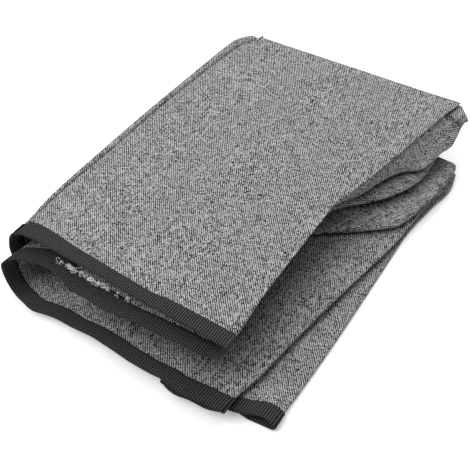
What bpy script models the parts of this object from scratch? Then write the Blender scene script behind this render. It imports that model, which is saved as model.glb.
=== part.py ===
"""Folded pressure cooker cover: a cloth sleeve with a top panel and a bound hem.

The side wall is a ring of cloth pressed flat and laid back and forth, so that its
cross-section is one closed line that runs from layer to layer round the folds.  The
section is swept from the hem to the closed end.  The top panel is tucked inside the
closed end, and the hem binding follows the same section round the open end.

Sizes below are in millimetres in the cover's own layout: X across the layers from
left to right, Y along them from the hem to the closed end, Z up from the surface.
"""
import math
from collections import namedtuple

import bpy

MM = 0.001

# Cloth and binding
CLOTH_THICKNESS = 1.0
TAPE_THICKNESS = 1.0
TAPE_WIDTH = 17.0
PIECE_GAP = 0.3
TAPE_OFFSET = (CLOTH_THICKNESS + TAPE_THICKNESS) / 2 + PIECE_GAP
TAPE_INSET = TAPE_THICKNESS + PIECE_GAP
GROUND = CLOTH_THICKNESS / 2
HEM_GROUND = TAPE_OFFSET + TAPE_THICKNESS / 2

# How finely the cloth is divided
TURN_STEPS = 6
LOOP_STEPS = 10
HEM_STATIONS = (TAPE_INSET, TAPE_WIDTH / 2, TAPE_WIDTH)
LENGTH_SHARES = (0.08, 0.16, 0.22, 0.27, 0.31, 0.35, 0.39, 0.43, 0.47, 0.52, 0.58, 0.64,
                 0.70, 0.77, 0.84, 0.92, 1.0)
PANEL_SHARES = (0.0, 0.2, 0.4, 0.6, 0.75, 0.9, 1.0)

# The loose pleats between the second and third layers drop and then spread across
# over these stretches; nearer the hem they lie flat in the second layer, from the
# root leftwards
PLEAT_DROPS = (25.0, 95.0)
PLEAT_SPREADS = (80.0, 158.0)
PLEAT_ROOT = 182.0
PLEAT_STEP = 8.0

# A fold's lower layer ends this share of the turn after the upper one
FAR_TURN = 1 / 6

LEFT = -1
RIGHT = 1

# A fold's rows: place along the cover, how far the fold reaches across, the heights
# of the layers above and below it, how far each of them takes to turn, where between
# them it reaches furthest (1 is at the upper one), and how much the upper one hangs
# down before it reaches the fold (0 is a round turn)
Row = namedtuple("Row", "along reach upper lower turn_upper turn_lower crown hang",
                 defaults=(0.5, 0.0))
Fold = namedtuple("Fold", "side steps pleat rows")

FOLDS = {
    "outer_wall": Fold(LEFT, LOOP_STEPS, None, (
        Row(-30, -9, 63.0, HEM_GROUND, 14, 9, 0.66),
        Row(-1, -9, 63.4, HEM_GROUND, 13, 9, 0.66),
        Row(14, -10, 63.5, GROUND, 13, 9, 0.66),
        Row(70, -13, 63.5, GROUND, 15, 9, 0.66),
        Row(150, -17, 63.5, GROUND, 18, 9, 0.66),
        Row(190, -15, 63.5, GROUND, 16, 9, 0.66),
        Row(310, -19, 63.5, GROUND, 21, 9, 0.66),
        Row(365, -19, 63.5, GROUND, 22, 9, 0.66),
        Row(390, -13, 63.0, GROUND, 20, 9, 0.66))),
    "top_edge": Fold(RIGHT, TURN_STEPS, None, (
        Row(-30, 224, 63.5, 49.5, 3.5, 10, 0.7),
        Row(0, 224.5, 63.5, 48.5, 3.5, 11, 0.72),
        Row(110, 221.5, 63.5, 47.0, 3, 12, 0.85),
        Row(180, 221.5, 63.5, 46.0, 3, 12, 0.8),
        Row(215, 229.5, 63.5, 46.0, 4, 11, 0.6, 0.1),
        Row(276, 244.5, 63.5, 46.0, 4, 9, 0.4, 0.3),
        Row(312, 257, 63.5, 45.0, 8, 8, 0.3, 0.4),
        Row(346, 279, 63.5, 43.5, 21, 8, 0.3, 0.6),
        Row(368, 279, 63.5, 43.5, 17, 8, 0.3, 0.6),
        Row(390, 276, 63.5, 43.5, 10, 8, 0.3, 0.6))),
    "pleat_root_high": Fold(LEFT, TURN_STEPS, 0, (
        Row(60, 172, 45.0, 42.0, 3, 3),
        Row(130, 172, 45.0, 42.0, 3, 3),
        Row(350, 222, 42.0, 37.5, 3, 3))),
    "pleat_high": Fold(RIGHT, TURN_STEPS, 1, (
        Row(60, 186, 39.2, 36.0, 3, 3),
        Row(130, 190, 39.4, 35.8, 3.5, 3.5),
        Row(205, 223, 40.0, 33.0, 8, 8),
        Row(236, 244, 39.5, 32.0, 9, 9),
        Row(256, 258, 39.0, 31.0, 9, 9),
        Row(275, 266, 38.5, 31.0, 9, 9),
        Row(300, 273, 38.0, 31.0, 9, 8),
        Row(350, 274, 37.0, 31.0, 8, 8))),
    "pleat_root_low": Fold(LEFT, TURN_STEPS, 2, (
        Row(60, 160, 33.2, 30.0, 3, 3),
        Row(130, 160, 33.2, 29.8, 3, 3),
        Row(350, 225, 30.0, 26.5, 2.5, 2.5))),
    "pleat_low": Fold(RIGHT, TURN_STEPS, 3, (
        Row(60, 178, 27.0, 23.6, 3, 3),
        Row(120, 184, 27.0, 22.0, 4, 4),
        Row(145, 191, 26.0, 19.0, 6, 6),
        Row(160, 201, 24.0, 16.5, 7, 6),
        Row(184, 229, 23.0, 15.5, 7, 6),
        Row(211, 261, 22.0, 15.0, 7, 5),
        Row(224, 275, 21.5, 14.8, 6, 5),
        Row(268, 285, 21.5, 14.8, 6, 5),
        Row(310, 291, 22.0, 15.0, 6, 5),
        Row(350, 290, 24.0, 16.5, 6, 5))),
    "inner_loop": Fold(LEFT, LOOP_STEPS, None, (
        Row(-50, -4, 44.5, 9.5, 12, 24, 0.85),
        Row(-40, -4, 44.5, 8.5, 12, 24, 0.85),
        Row(-24, -3, 44.5, 7.0, 12, 24, 0.85),
        Row(0, -2, 44.5, 6.5, 12, 22, 0.85),
        Row(100, -3, 43.0, 6.5, 12, 18, 0.85),
        Row(200, -3, 38.0, 6.5, 12, 14, 0.85),
        Row(360, -3, 32.0, 6.5, 12, 12, 0.85))),
    "middle_edge": Fold(RIGHT, TURN_STEPS, None, (
        Row(-40, 239, 17.6, 12.4, 2.7, 2.7),
        Row(-24, 240, 15.8, 10.6, 2.7, 2.7),
        Row(0, 246, 14.2, 10.0, 3, 3),
        Row(46, 252, 13.5, 9.0, 4, 4),
        Row(128, 265, 12.5, 8.6, 4, 4),
        Row(210, 279, 11.8, 8.4, 4, 4),
        Row(268, 284, 11.4, 8.2, 4, 4),
        Row(310, 290, 11.2, 8.0, 4, 4),
        Row(350, 289, 13.0, 9.6, 4, 4))),
    "middle_root": Fold(LEFT, TURN_STEPS, None, (
        Row(-45, 172, 10.9, 5.9, 2.6, 2.6),
        Row(-20, 174, 10.7, 5.9, 2.6, 2.6),
        Row(100, 195, 8.4, 5.0, 2.5, 2.5),
        Row(250, 240, 7.8, 4.4, 2.5, 2.5),
        Row(350, 252, 7.8, 4.2, 2.5, 2.5))),
    "bottom_edge": Fold(RIGHT, TURN_STEPS, None, (
        Row(-30, 278, 6.8, HEM_GROUND, 2.7, 2.7, 0.55),
        Row(-8, 278, 6.6, HEM_GROUND, 2.7, 2.7, 0.55),
        Row(12, 279, 4.8, GROUND, 4, 4, 0.55),
        Row(100, 281, 4.4, GROUND, 5, 5, 0.55),
        Row(220, 281, 4.2, GROUND, 5, 5, 0.55),
        Row(280, 288, 4.2, GROUND, 5, 5, 0.55),
        Row(318, 295, 4.2, GROUND, 5, 5, 0.55),
        Row(350, 290, 5.2, GROUND, 5, 5, 0.55))),
}

# A layer's row: its divisions, where its hem and its far edge lie at the end where the
# section enters it and at the end where it leaves it, and the share of its width over
# which it rises or falls
Layer = namedtuple("Layer", "steps hem_in hem_out far_in far_out slope", defaults=(1.0,))

LAYERS = {
    "outer_wall": Layer(9, -18, -18, 383, 387),
    "top_edge": Layer(3, -24, -25, 352, 346),
    "pleat_root_high": Layer(3, -25, -25, 342, 338),
    "pleat_high": Layer(3, -26, -26, 337, 340),
    "pleat_root_low": Layer(3, -26, -27, 341, 340),
    "pleat_low": Layer(7, -27, -36, 341, 362),
    "inner_loop": Layer(9, -47, -41, 360, 345, 0.6),
    "middle_edge": Layer(3, -42, -45, 344, 344),
    "middle_root": Layer(4, -44, -27, 344, 344),
    "bottom_edge": Layer(9, -28, -25, 344, 368),
}

# The top panel, laid in three inside the closed end
PANEL_NEAR = 235.0
PANEL_FAR = 384.0
PANEL_FOLDS = {
    "first_edge": Fold(LEFT, TURN_STEPS, None, (
        Row(235, 6, 60.0, 60.0, 0, 0),
        Row(390, 6, 60.0, 60.0, 0, 0))),
    "right_fold": Fold(RIGHT, TURN_STEPS, None, (
        Row(235, 222, 58.8, 55.0, 3, 3),
        Row(276, 232, 58.8, 55.0, 3, 3),
        Row(320, 243, 58.6, 54.8, 3, 3),
        Row(354, 252, 58.0, 54.2, 3, 3),
        Row(374, 278, 56.5, 52.5, 4, 4),
        Row(390, 274, 56.5, 52.5, 4, 4))),
    "left_fold": Fold(LEFT, TURN_STEPS, None, (
        Row(235, 2, 55.6, 51.0, 4, 4),
        Row(390, 2, 55.6, 51.0, 4, 4))),
    "last_edge": Fold(RIGHT, TURN_STEPS, None, (
        Row(235, 208, 51.0, 51.0, 0, 0),
        Row(320, 228, 50.8, 50.8, 0, 0),
        Row(390, 242, 50.0, 50.0, 0, 0))),
}
PANEL_STEPS = 7

CLOTH_COLOUR = (0.17, 0.17, 0.175, 1.0)
PANEL_COLOUR = (0.15, 0.15, 0.155, 1.0)
TAPE_COLOUR = (0.022, 0.022, 0.024, 1.0)


def blend(start, end, share):
    """Return the value a share of the way from start to end."""
    return start + (end - start) * share


def ease(share):
    """Return a share that leaves and arrives gently."""
    share = min(max(share, 0.0), 1.0)
    return share * share * (3.0 - 2.0 * share)


def slopes(knots, values):
    """Return slopes that keep a curve through the values from overshooting."""
    steps = [(values[i + 1] - values[i]) / (knots[i + 1] - knots[i])
             for i in range(len(knots) - 1)]
    inner = [0.0 if a * b <= 0 else 2 * a * b / (a + b) for a, b in zip(steps, steps[1:])]
    return [steps[0]] + inner + [steps[-1]]


def row_at(rows, along):
    """Return the row of a fold's table at any place along the cover."""
    knots = [row.along for row in rows]
    along = min(max(along, knots[0]), knots[-1])
    i = max(k for k in range(len(knots) - 1) if knots[k] <= along)
    span = knots[i + 1] - knots[i]
    t = (along - knots[i]) / span
    mixed = [along]
    for column in range(1, len(Row._fields)):
        values = [row[column] for row in rows]
        rate = slopes(knots, values)
        mixed.append((1 + 2 * t) * (1 - t) ** 2 * values[i] + t * t * (3 - 2 * t) * values[i + 1]
                     + t * (1 - t) ** 2 * span * rate[i] - t * t * (1 - t) * span * rate[i + 1])
    return Row(*mixed)


def turn_point(fold, along, turn):
    """Return X and Z on a fold, with turn 0 at its upper layer and 1 at its lower one."""
    row = row_at(fold.rows, along)
    tip = blend(row.lower, row.upper, row.crown)
    level, depth, hang = (row.upper, row.turn_upper, row.hang)
    if turn > 0.5:
        level, depth, hang = (row.lower, row.turn_lower, 0.0)
    sine, cosine = math.sin(math.pi * turn), abs(math.cos(math.pi * turn))
    x = row.reach - fold.side * depth * blend(1 - sine, cosine, hang)
    z = tip + (level - tip) * blend(cosine, 1 - sine, hang)
    return x, z


def wall_point(name, along, turn):
    """Return a fold's point on the side wall, where closed pleats lie in the layer."""
    fold = FOLDS[name]
    folded = turn_point(fold, along, turn)
    if fold.pleat is None:
        return folded
    near = row_at(FOLDS["top_edge"].rows, along)
    far = row_at(FOLDS["inner_loop"].rows, along)
    flat_x = PLEAT_ROOT - PLEAT_STEP * (2 * fold.pleat + turn)
    flat_z = blend(near.lower, far.upper, (near.reach - flat_x) / (near.reach - far.reach))
    row = row_at(fold.rows, along)
    dropped = ease((along - PLEAT_DROPS[0]) / (PLEAT_DROPS[1] - PLEAT_DROPS[0]))
    spread = ease((along - PLEAT_SPREADS[0]) / (PLEAT_SPREADS[1] - PLEAT_SPREADS[0]))
    folded_z = blend(blend(row.upper, row.lower, turn), folded[1], spread)
    return blend(flat_x, folded[0], spread), blend(flat_z, folded_z, dropped)


def layer_point(name, next_name, along, share):
    """Return a point on the layer that runs from one fold of the side wall to the next."""
    start = wall_point(name, along, 0.0 if name == "outer_wall" else 1.0)
    end = wall_point(next_name, along, 1.0 if next_name == "outer_wall" else 0.0)
    raised = ease(share / LAYERS[name].slope)
    return blend(start[0], end[0], share), blend(start[1], end[1], raised)


def section_places():
    """List the places round the side wall's section, each as a function of along.

    Each place is (point function, hem, far edge).
    """
    names = list(FOLDS)
    places = []
    for i, name in enumerate(names):
        next_name = names[(i + 1) % len(names)]
        before = LAYERS[names[i - 1]]
        layer = LAYERS[name]
        steps = FOLDS[name].steps
        for step in range(steps):
            turn = step / steps
            height = 1 - turn if name == "outer_wall" else turn
            places.append((lambda y, n=name, t=height: wall_point(n, y, t),
                           blend(before.hem_out, layer.hem_in, turn),
                           blend(before.far_out, layer.far_in, min(turn / FAR_TURN, 1.0))))
        for step in range(layer.steps):
            share = step / layer.steps
            places.append((lambda y, n=name, m=next_name, s=share: layer_point(n, m, y, s),
                           blend(layer.hem_in, layer.hem_out, share),
                           blend(layer.far_in, layer.far_out, share)))
    return places


def offset_ring(points, distance):
    """Move a closed line of (x, z) points sideways, to its left as it is followed."""
    moved = []
    count = len(points)
    for i in range(count):
        (x0, z0), (x1, z1) = points[i - 1], points[(i + 1) % count]
        length = math.hypot(x1 - x0, z1 - z0)
        x, z = points[i]
        moved.append((x - distance * (z1 - z0) / length, z + distance * (x1 - x0) / length))
    return moved


def grid_mesh(name, rings, closed):
    """Make a mesh of the rows of points in rings, each row open or closed."""
    count = len(rings[0])
    across = count if closed else count - 1
    vertices = [[c * MM for c in point] for ring in rings for point in ring]
    faces = []
    for r in range(len(rings) - 1):
        for i in range(across):
            j = (i + 1) % count
            faces.append((r * count + i, (r + 1) * count + i, (r + 1) * count + j, r * count + j))
    mesh = bpy.data.meshes.new(name)
    mesh.from_pydata(vertices, [], faces)
    mesh.shade_smooth()
    return mesh


def cloth_object(name, mesh, thickness, material, collection):
    """Put a mesh in the collection as a sheet of one thickness, centred on the mesh."""
    mesh.materials.append(material)
    sheet = bpy.data.objects.new(name, mesh)
    collection.objects.link(sheet)
    solidify = sheet.modifiers.new("thickness", "SOLIDIFY")
    solidify.thickness = thickness * MM
    solidify.offset = 0.0
    return sheet


def make_side_wall(material, collection):
    """Sweep the folded section from inside the binding to the closed end."""
    places = section_places()
    stations = [[hem + inward for point, hem, far in places] for inward in HEM_STATIONS]
    stations += [[blend(hem + TAPE_WIDTH, far, share) for point, hem, far in places]
                 for share in LENGTH_SHARES]
    rings = []
    for alongs in stations:
        flat = [point(along) for (point, hem, far), along in zip(places, alongs)]
        rings.append([(x, along, z) for (x, z), along in zip(flat, alongs)])
    mesh = grid_mesh("side_wall", rings, closed=True)
    return cloth_object("side_wall", mesh, CLOTH_THICKNESS, material, collection)


def make_hem_binding(material, collection):
    """Fold a tape over the hem: one leg outside the cloth, one inside."""
    places = section_places()
    half_tape = TAPE_THICKNESS / 2
    legs = ((TAPE_OFFSET, TAPE_WIDTH), (TAPE_OFFSET, TAPE_WIDTH / 2), (TAPE_OFFSET, half_tape),
            (-TAPE_OFFSET, half_tape), (-TAPE_OFFSET, TAPE_WIDTH / 2), (-TAPE_OFFSET, TAPE_WIDTH))
    rings = []
    for distance, inward in legs:
        alongs = [hem + inward for point, hem, far in places]
        flat = [point(along) for (point, hem, far), along in zip(places, alongs)]
        moved = offset_ring(flat, distance)
        rings.append([(x, along, z) for (x, z), along in zip(moved, alongs)])
    mesh = grid_mesh("hem_binding", rings, closed=True)
    return cloth_object("hem_binding", mesh, TAPE_THICKNESS, material, collection)


def make_top_panel(material, collection):
    """Lay the top panel back and forth inside the closed end."""
    names = list(PANEL_FOLDS)
    rings = []
    for share in PANEL_SHARES:
        along = blend(PANEL_NEAR, PANEL_FAR, share)
        ring = []
        for name, next_name in zip(names, names[1:]):
            fold, next_fold = PANEL_FOLDS[name], PANEL_FOLDS[next_name]
            if name != names[0]:
                for step in range(fold.steps):
                    x, z = turn_point(fold, along, step / fold.steps)
                    ring.append((x, along, z))
            start = turn_point(fold, along, 1.0)
            end = turn_point(next_fold, along, 0.0)
            for step in range(PANEL_STEPS):
                part = step / PANEL_STEPS
                ring.append((blend(start[0], end[0], part), along, blend(start[1], end[1], part)))
        ring.append((end[0], along, end[1]))
        rings.append(ring)
    mesh = grid_mesh("top_panel", rings, closed=False)
    return cloth_object("top_panel", mesh, CLOTH_THICKNESS, material, collection)


def make_material(name, colour, roughness):
    """Make a plain cloth material."""
    material = bpy.data.materials.new(name)
    material.use_nodes = True
    shader = material.node_tree.nodes["Principled BSDF"]
    shader.inputs["Base Color"].default_value = colour
    shader.inputs["Roughness"].default_value = roughness
    shader.inputs["Metallic"].default_value = 0.0
    return material


def centre_on_origin(sheets):
    """Shift the sheets so that the middle of their shared footprint is at the origin."""
    bpy.context.view_layer.update()
    depsgraph = bpy.context.evaluated_depsgraph_get()
    corners = [vertex.co for sheet in sheets
               for vertex in sheet.evaluated_get(depsgraph).data.vertices]
    for axis in (0, 1):
        values = [corner[axis] for corner in corners]
        middle = (min(values) + max(values)) / 2
        for sheet in sheets:
            sheet.location[axis] = -middle


def main():
    for leftover in list(bpy.data.objects):
        bpy.data.objects.remove(leftover, do_unlink=True)
    collection = bpy.data.collections.new("pressure_cooker_cover")
    bpy.context.scene.collection.children.link(collection)
    sheets = [
        make_side_wall(make_material("grey_oxford_cloth", CLOTH_COLOUR, 0.85), collection),
        make_top_panel(make_material("grey_panel_cloth", PANEL_COLOUR, 0.85), collection),
        make_hem_binding(make_material("black_binding_tape", TAPE_COLOUR, 0.8), collection),
    ]
    centre_on_origin(sheets)


main()
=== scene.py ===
"""Folded pressure cooker cover: heathered cloth, ribbed hem binding, side seam and fibres.

Lengths in the tables are millimetres in the cover's own layout: X across the layers from
left to right, Y from the hem to the closed end, Z up from the surface it lies on.
"""
import bisect
import logging
import math
import random
from dataclasses import astuple, dataclass, field
from enum import Enum
from typing import Any, Callable, Iterable, Sequence, Union

import bmesh
import bpy
from mathutils import Matrix, Vector, noise


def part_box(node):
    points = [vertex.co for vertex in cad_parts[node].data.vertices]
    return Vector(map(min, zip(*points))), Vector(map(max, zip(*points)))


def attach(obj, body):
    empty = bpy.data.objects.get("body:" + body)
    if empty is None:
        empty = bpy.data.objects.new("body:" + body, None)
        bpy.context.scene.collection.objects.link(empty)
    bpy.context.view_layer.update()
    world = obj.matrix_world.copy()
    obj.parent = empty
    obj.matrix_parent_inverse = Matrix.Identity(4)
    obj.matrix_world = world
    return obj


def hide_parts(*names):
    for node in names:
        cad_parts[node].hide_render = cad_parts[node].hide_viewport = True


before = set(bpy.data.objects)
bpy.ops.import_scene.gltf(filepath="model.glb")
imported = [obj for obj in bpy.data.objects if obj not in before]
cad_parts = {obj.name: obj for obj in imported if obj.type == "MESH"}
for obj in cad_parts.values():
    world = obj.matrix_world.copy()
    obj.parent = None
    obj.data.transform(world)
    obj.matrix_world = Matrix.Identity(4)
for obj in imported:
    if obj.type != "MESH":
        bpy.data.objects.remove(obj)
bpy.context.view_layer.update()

MM = 0.001
ROOT = "root"
OUTER_WALL = "outer_wall"
log = logging.getLogger("cover")


class Side(Enum):
    """The side of the stack that a round fold's tip is on."""

    LEFT = -1
    RIGHT = 1


def blend(start: float, end: float, share: float) -> float:
    """Return the value a share of the way from start to end."""
    return start + (end - start) * share


def ease(share: float) -> float:
    """Return a share that leaves and arrives gently, held between 0 and 1."""
    share = min(max(share, 0.0), 1.0)
    return share * share * (3.0 - 2.0 * share)


def ripple(x: float, y: float, size: float, seed: float) -> float:
    """Return seeded smooth relief between about -1 and 1, with bumps of a size across."""
    seed_gap, reach = 7.31, 1.8
    return noise.noise(Vector((x / size, y / size, seed * seed_gap))) * reach


class Course:
    """Columns of values along the cover, joined by curves that don't overshoot."""

    def __init__(self, rows: Sequence[Sequence[float]]) -> None:
        """Keep the rows and work out the slope of each column at each row.

        Args:
            rows: Rows of numbers, each led by its place along the cover.
        """
        self.knots = [row[0] for row in rows]
        self.columns = [list(column) for column in zip(*rows)][1:]
        self.rates = [self._slopes(column) for column in self.columns]

    def _slopes(self, values: Sequence[float]) -> list[float]:
        """Work out the slopes that keep one column's curve between its values.

        Args:
            values: The column.

        Returns:
            One slope for each row.
        """
        steps = [(values[i + 1] - values[i]) / (self.knots[i + 1] - self.knots[i])
                 for i in range(len(values) - 1)]
        inner = [0.0 if a * b <= 0 else 2 * a * b / (a + b) for a, b in zip(steps, steps[1:])]
        return [steps[0]] + inner + [steps[-1]]

    def at(self, along: float) -> list[float]:
        """Find every column's value at a place along the cover.

        Args:
            along: The place, held between the first row and the last.

        Returns:
            One value for each column.
        """
        along = min(max(along, self.knots[0]), self.knots[-1])
        i = min(bisect.bisect_right(self.knots, along), len(self.knots) - 1) - 1
        span = self.knots[i + 1] - self.knots[i]
        t = (along - self.knots[i]) / span
        a = (1 + 2 * t) * (1 - t) ** 2
        b = t * t * (3 - 2 * t)
        c = t * (1 - t) ** 2 * span
        d = -t * t * (1 - t) * span
        return [a * v[i] + b * v[i + 1] + c * r[i] + d * r[i + 1]
                for v, r in zip(self.columns, self.rates)]


@dataclass(frozen=True)
class Turn:
    """A round fold's shape at one place along the cover."""

    along: float
    reach: float
    upper: float
    lower: float
    turn_upper: float
    turn_lower: float
    crown: float = 0.5


@dataclass
class RoundFold:
    """A fold that turns in two quarter ellipses, one above its tip and one below.

    steps counts the places laid round it, and pleat is its number among the pleats' folds.
    """

    side: Side
    turns: Sequence[Turn]
    steps: int = 10
    pleat: Union[int, None] = None
    course: Course = field(init=False)

    def __post_init__(self) -> None:
        """Make the course that the turns lie on."""
        self.course = Course([astuple(turn) for turn in self.turns])

    def reach(self, along: float) -> float:
        """Return how far across the fold's tip reaches."""
        return self.course.at(along)[0]

    def upper(self, along: float) -> float:
        """Return the height of the layer above the fold."""
        return self.course.at(along)[1]

    def lower(self, along: float) -> float:
        """Return the height of the layer below the fold."""
        return self.course.at(along)[2]

    def point(self, along: float, turn: float) -> tuple[float, float]:
        """Find a place on the fold.

        Args:
            along: Place along the cover.
            turn: 0 at the upper layer, 1 at the lower one.

        Returns:
            X and Z.
        """
        reach, upper, lower, above, below, crown = self.course.at(along)
        tip = blend(lower, upper, crown)
        level, depth = (upper, above) if turn <= 0.5 else (lower, below)
        x = reach - self.side.value * depth * (1 - math.sin(math.pi * turn))
        return x, tip + (level - tip) * abs(math.cos(math.pi * turn))


@dataclass(frozen=True)
class Crease:
    """A line along the cover that a fold passes through.

    alongs, xs and zs are the line's places in Y, X and Z, and softness is 0 for a sharp
    crease and 1 for a round bend.
    """

    alongs: tuple[float, ...]
    xs: tuple[float, ...]
    zs: tuple[float, ...]
    softness: float = 1.0


@dataclass
class CreasedFold:
    """A fold drawn through creases, from the layer above it to the layer below."""

    creases: Sequence[Crease]
    steps: int = 48
    pleat: Union[int, None] = None
    courses: list[Course] = field(init=False)

    def __post_init__(self) -> None:
        """Make the course that each crease lies on."""
        self.courses = [Course(list(zip(crease.alongs, crease.xs, crease.zs)))
                        for crease in self.creases]

    def reach(self, along: float) -> float:
        """Return the X of the fold's last crease, where its lower layer starts."""
        return self.courses[-1].at(along)[0]

    def lower(self, along: float) -> float:
        """Return the height of the layer below the fold."""
        return self.courses[-1].at(along)[1]

    def point(self, along: float, turn: float) -> tuple[float, float]:
        """Find a place on the fold.

        Args:
            along: Place along the cover.
            turn: 0 at the first crease, 1 at the last.

        Returns:
            X and Z.
        """
        places = [course.at(along) for course in self.courses]
        spot = min(max(turn, 0.0), 1.0) * (len(places) - 1)
        i = min(int(spot), len(places) - 2)
        t = spot - i
        before = places[max(i - 1, 0)]
        start, end = places[i], places[i + 1]
        after = places[min(i + 2, len(places) - 1)]
        result = []
        for axis in (0, 1):
            leave = (end[axis] - before[axis]) * 0.5 * self.creases[i].softness
            arrive = (after[axis] - start[axis]) * 0.5 * self.creases[i + 1].softness
            result.append((2 * t ** 3 - 3 * t ** 2 + 1) * start[axis]
                          + (t ** 3 - 2 * t ** 2 + t) * leave
                          + (3 * t ** 2 - 2 * t ** 3) * end[axis]
                          + (t ** 3 - t ** 2) * arrive)
        return result[0], result[1]


Fold = Union[RoundFold, CreasedFold]


@dataclass
class Layer:
    """A layer between two folds, and the fold that it starts from.

    hem lists (share, Y) of the hem across the layer, and turn_hem and turn_far those of the
    hem and the far edge round the fold before it. far_in and far_out are the far edge's Y at
    its start and end. tape lists (share, width) of the binding, grain is (Y, X) of a thread
    that runs through the layer, slope is the share of the layer's width over which it rises
    or falls, and fine lists spans of share laid closer.
    """

    steps: int
    hem: tuple[tuple[float, float], ...]
    far_in: float
    far_out: float
    slope: float = 1.0
    grain: tuple[tuple[float, float], ...] = ((-50.0, 0.0), (400.0, 0.0))
    turn_hem: tuple[tuple[float, float], ...] = ()
    turn_far: tuple[tuple[float, float], ...] = ()
    fine: tuple[tuple[float, float, int], ...] = ()
    tape: tuple[tuple[float, float], ...] = ((0.0, 15.0), (1.0, 15.0))
    hem_course: Course = field(init=False)
    tape_course: Course = field(init=False)
    turn_course: Union[Course, None] = field(init=False)
    turn_far_course: Union[Course, None] = field(init=False)

    def __post_init__(self) -> None:
        """Make the courses that the hem, the far edge and the binding's width lie on."""
        self.hem_course = Course(self.hem)
        self.tape_course = Course(self.tape)
        self.turn_course = Course(self.turn_hem) if self.turn_hem else None
        self.turn_far_course = Course(self.turn_far) if self.turn_far else None

    def shares(self) -> list[float]:
        """List the shares of the width at which the layer is laid down.

        Returns:
            The shares, in order, without the last edge.
        """
        found = {step / self.steps for step in range(self.steps)}
        for start, end, count in self.fine:
            found = {share for share in found if share < start or share >= end}
            found |= {blend(start, end, step / count) for step in range(count)}
        return sorted(found)

    def drift(self, along: float) -> float:
        """Return how far across a thread of the layer has strayed at a place along it."""
        (near, near_x), (far, far_x) = self.grain
        return blend(near_x, far_x, (along - near) / (far - near))


@dataclass(frozen=True)
class Place:
    """One place round the sleeve's section, with its hem, far edge and binding there."""

    layer: str
    fold: str
    next_fold: str
    share: float
    on_fold: bool
    hem: float = 0.0
    far: float = 0.0
    tape: float = 15.0


@dataclass
class Sleeve:
    """The folded section of the side wall, from the hem to the closed end.

    The pleats drop to their level between the Ys of pleat_drops, and spread to their own
    shape between those of pleat_spreads. relief gives the unevenness of a named layer.
    """

    folds: dict[str, Fold]
    layers: dict[str, Layer]
    relief: Callable[[str, float, float], float]
    pleat_drops: tuple[float, float] = (25.0, 95.0)
    pleat_spreads: tuple[float, float] = (80.0, 158.0)
    pleat_root: float = 182.0
    pleat_step: float = 8.0
    far_turn: float = 6.0

    def fold_point(self, name: str, along: float, turn: float) -> tuple[float, float]:
        """Find a place on a fold; a pleat that is still closed lies in its layer.

        Args:
            name: The fold's name.
            along: Place along the cover.
            turn: 0 at the upper layer, 1 at the lower one.

        Returns:
            X and Z.
        """
        fold = self.folds[name]
        x, z = fold.point(along, turn)
        if fold.pleat is None:
            return x, z
        near, far = self.folds["top_edge"], self.folds["inner_loop"]
        flat_x = self.pleat_root - self.pleat_step * (2 * fold.pleat + turn)
        start, end = near.reach(along), far.reach(along)
        flat_z = blend(near.lower(along), far.upper(along), (start - flat_x) / (start - end))
        drops, spreads = self.pleat_drops, self.pleat_spreads
        dropped = ease((along - drops[0]) / (drops[1] - drops[0]))
        spread = ease((along - spreads[0]) / (spreads[1] - spreads[0]))
        level = blend(fold.upper(along), fold.lower(along), turn)
        return blend(flat_x, x, spread), blend(flat_z, blend(level, z, spread), dropped)

    def point(self, place: Place, along: float) -> Vector:
        """Find the middle of the cloth at a place round the section.

        Args:
            place: The place round the section.
            along: Place along the cover.

        Returns:
            The point in the layout.
        """
        if place.on_fold:
            x, z = self.fold_point(place.fold, along, place.share)
        else:
            start = self.fold_point(place.fold, along, float(place.fold != OUTER_WALL))
            end = self.fold_point(place.next_fold, along, float(place.next_fold == OUTER_WALL))
            raised = ease(place.share / self.layers[place.layer].slope)
            x, z = blend(start[0], end[0], place.share), blend(start[1], end[1], raised)
        return Vector((x, along, z + self.relief(place.layer, x, along)))

    def places(self) -> list[Place]:
        """List the places round the section, starting at the outer wall's foot.

        Returns:
            The places, in order.
        """
        names = list(self.folds)
        found = []
        for i, name in enumerate(names):
            following, previous = names[(i + 1) % len(names)], names[i - 1]
            before, layer = self.layers[previous], self.layers[name]
            steps = self.folds[name].steps
            leaves, joins = before.hem_course.at(1.0)[0], layer.hem_course.at(0.0)[0]
            for step in range(steps):
                turn = step / steps
                hem = (layer.turn_course.at(turn)[0] if layer.turn_course
                       else blend(leaves, joins, turn))
                far = (layer.turn_far_course.at(turn)[0] if layer.turn_far_course
                       else blend(before.far_out, layer.far_in, min(turn * self.far_turn, 1.0)))
                tape = blend(before.tape_course.at(1.0)[0], layer.tape_course.at(0.0)[0], turn)
                found.append(Place(previous if turn < 0.5 else name, name, following,
                                   1 - turn if name == OUTER_WALL else turn, True,
                                   hem, far, tape))
            for share in layer.shares():
                found.append(Place(name, name, following, share, False,
                                   layer.hem_course.at(share)[0],
                                   blend(layer.far_in, layer.far_out, share),
                                   layer.tape_course.at(share)[0]))
        return found


# The Ys of creases that share them.
WALL_LIP_YS = (-30, 2, 30, 64, 160, 202, 272, 323, 354, 369, 390)
WALL_STRIP_YS = (-30, 2, 30, 64, 160, 202, 272, 323, 354, 369, 381, 390)
WALL_FOOT_YS = (-30, 0, 70, 160, 310, 390)
EDGE_LIP_YS = (-30, 0, 54, 171, 193, 231, 274, 310, 324, 340, 352, 390)
EDGE_ROLL_YS = (-30, 0, 54, 171, 193, 222, 252, 275, 293, 314, 340, 352, 374, 390)

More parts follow.
